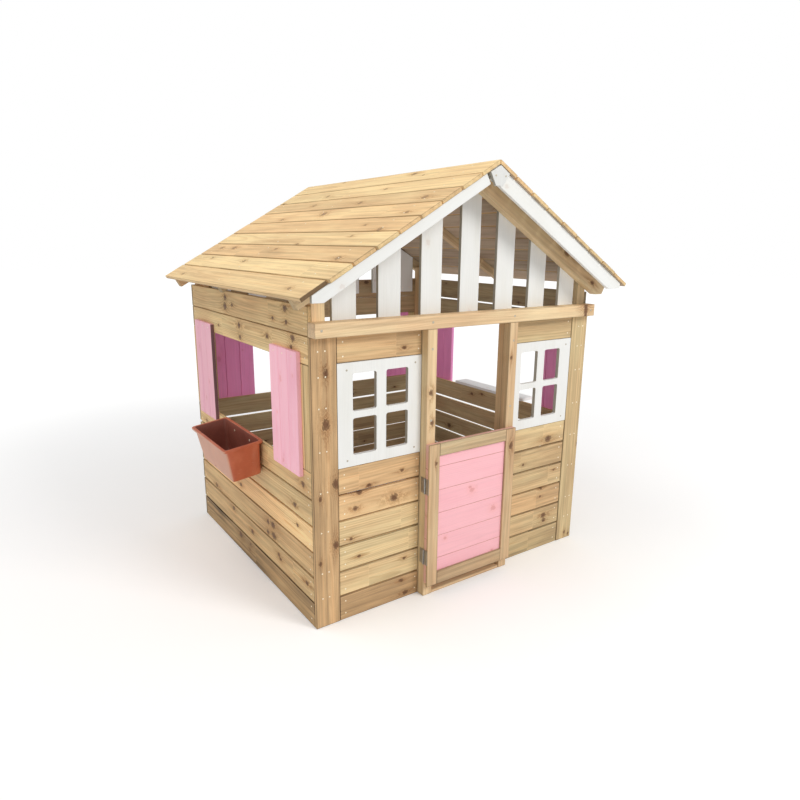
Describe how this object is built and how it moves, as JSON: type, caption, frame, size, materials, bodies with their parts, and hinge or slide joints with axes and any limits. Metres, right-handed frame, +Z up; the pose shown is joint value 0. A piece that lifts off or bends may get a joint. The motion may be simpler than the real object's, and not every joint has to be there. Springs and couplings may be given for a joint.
{
  "type": "playhouse",
  "caption": "Free-standing wooden garden playhouse with gable roof, picket gables, window openings with shutters, hanging planter and an outward-opening half door.",
  "frame": {"origin": "bottom centre of the overall bounding box, on the ground plane", "axes": "+Z up, -Y out of the front wall with the doorway, +X to the right of someone facing that front from outside"},
  "size_m": [1.5612, 1.414, 1.5937],
  "materials": {
    "grey_white_wood": "pale grey-white paint, satin",
    "pine_frame": "planed natural pine framing, satin",
    "pine_roof": "planed natural pine, lighter, satin",
    "pine_wall": "planed natural pine, clear stained, satin",
    "pink_wood": "pink stain on pine, satin",
    "terracotta_plastic": "terracotta moulded plastic, matte",
    "white_wood": "white water-based stain on pine, satin",
    "zinc_steel": "zinc plated steel, satin"
  },
  "bodies": {
    "house": {"apex_plate": "white_wood", "apex_plate_screws": "zinc_steel", "back_gable_pickets": "white_wood", "back_shutter_left": "pink_wood", "back_shutter_right": "pink_wood", "back_wall_end_boards": "pine_wall", "back_wall_lower_planks": "pine_wall", "back_wall_nails": "zinc_steel", "back_wall_upper_planks": "pine_wall", "corner_posts": "pine_frame", "door_jamb_studs": "pine_frame", "door_posts": "pine_frame", "door_threshold": "pine_frame", "frame_screws": "zinc_steel", "front_corner_boards": "pine_wall", "front_gable_pickets": "white_wood", "front_left_lower_planks": "pine_wall", "front_left_window_frame": "white_wood", "front_panel_battens": "pine_frame", "front_right_lower_planks": "pine_wall", "front_right_window_frame": "white_wood", "front_top_planks": "pine_wall", "front_wall_nails": "zinc_steel", "header_beam": "pine_frame", "hinge_fixed_leaves": "zinc_steel", "hinge_pins": "zinc_steel", "hinge_post_screws": "zinc_steel", "left_shutter_front": "pink_wood", "left_shutter_rear": "pink_wood", "left_wall_end_boards": "pine_wall", "left_wall_lower_planks": "pine_wall", "left_wall_nails": "zinc_steel", "left_wall_upper_planks": "pine_wall", "picket_nails": "zinc_steel", "planter": "terracotta_plastic", "planter_screws": "zinc_steel", "rafters_front": "pine_frame", "rafters_middle": "pine_frame", "rafters_rear": "pine_frame", "rake_board_left": "white_wood", "rake_board_right": "white_wood", "right_shutter_front": "pink_wood", "right_shutter_rear": "pink_wood", "right_wall_end_boards": "pine_wall", "right_wall_lower_planks": "pine_wall", "right_wall_nails": "zinc_steel", "right_wall_upper_planks": "pine_wall", "roof_nails": "zinc_steel", "roof_planks_left": "pine_roof", "roof_planks_right": "pine_roof", "shutter_nails": "zinc_steel", "window_frame_screws": "zinc_steel", "window_shelf": "grey_white_wood"},
    "half_door": {"half_door_planks": "pink_wood", "half_door_stiles": "pine_frame", "half_door_rails": "pine_frame", "half_door_nails": "zinc_steel", "hinge_door_leaves": "zinc_steel", "hinge_door_screws": "zinc_steel"}
  },
  "joints": [
    {"name": "half_door_hinge", "type": "hinge", "parent": "house", "child": "half_door", "pos_m": [-0.1849, -0.6145, 0.3], "axis": [0, 0, -1], "range_deg": [0, 170]}
  ]
}
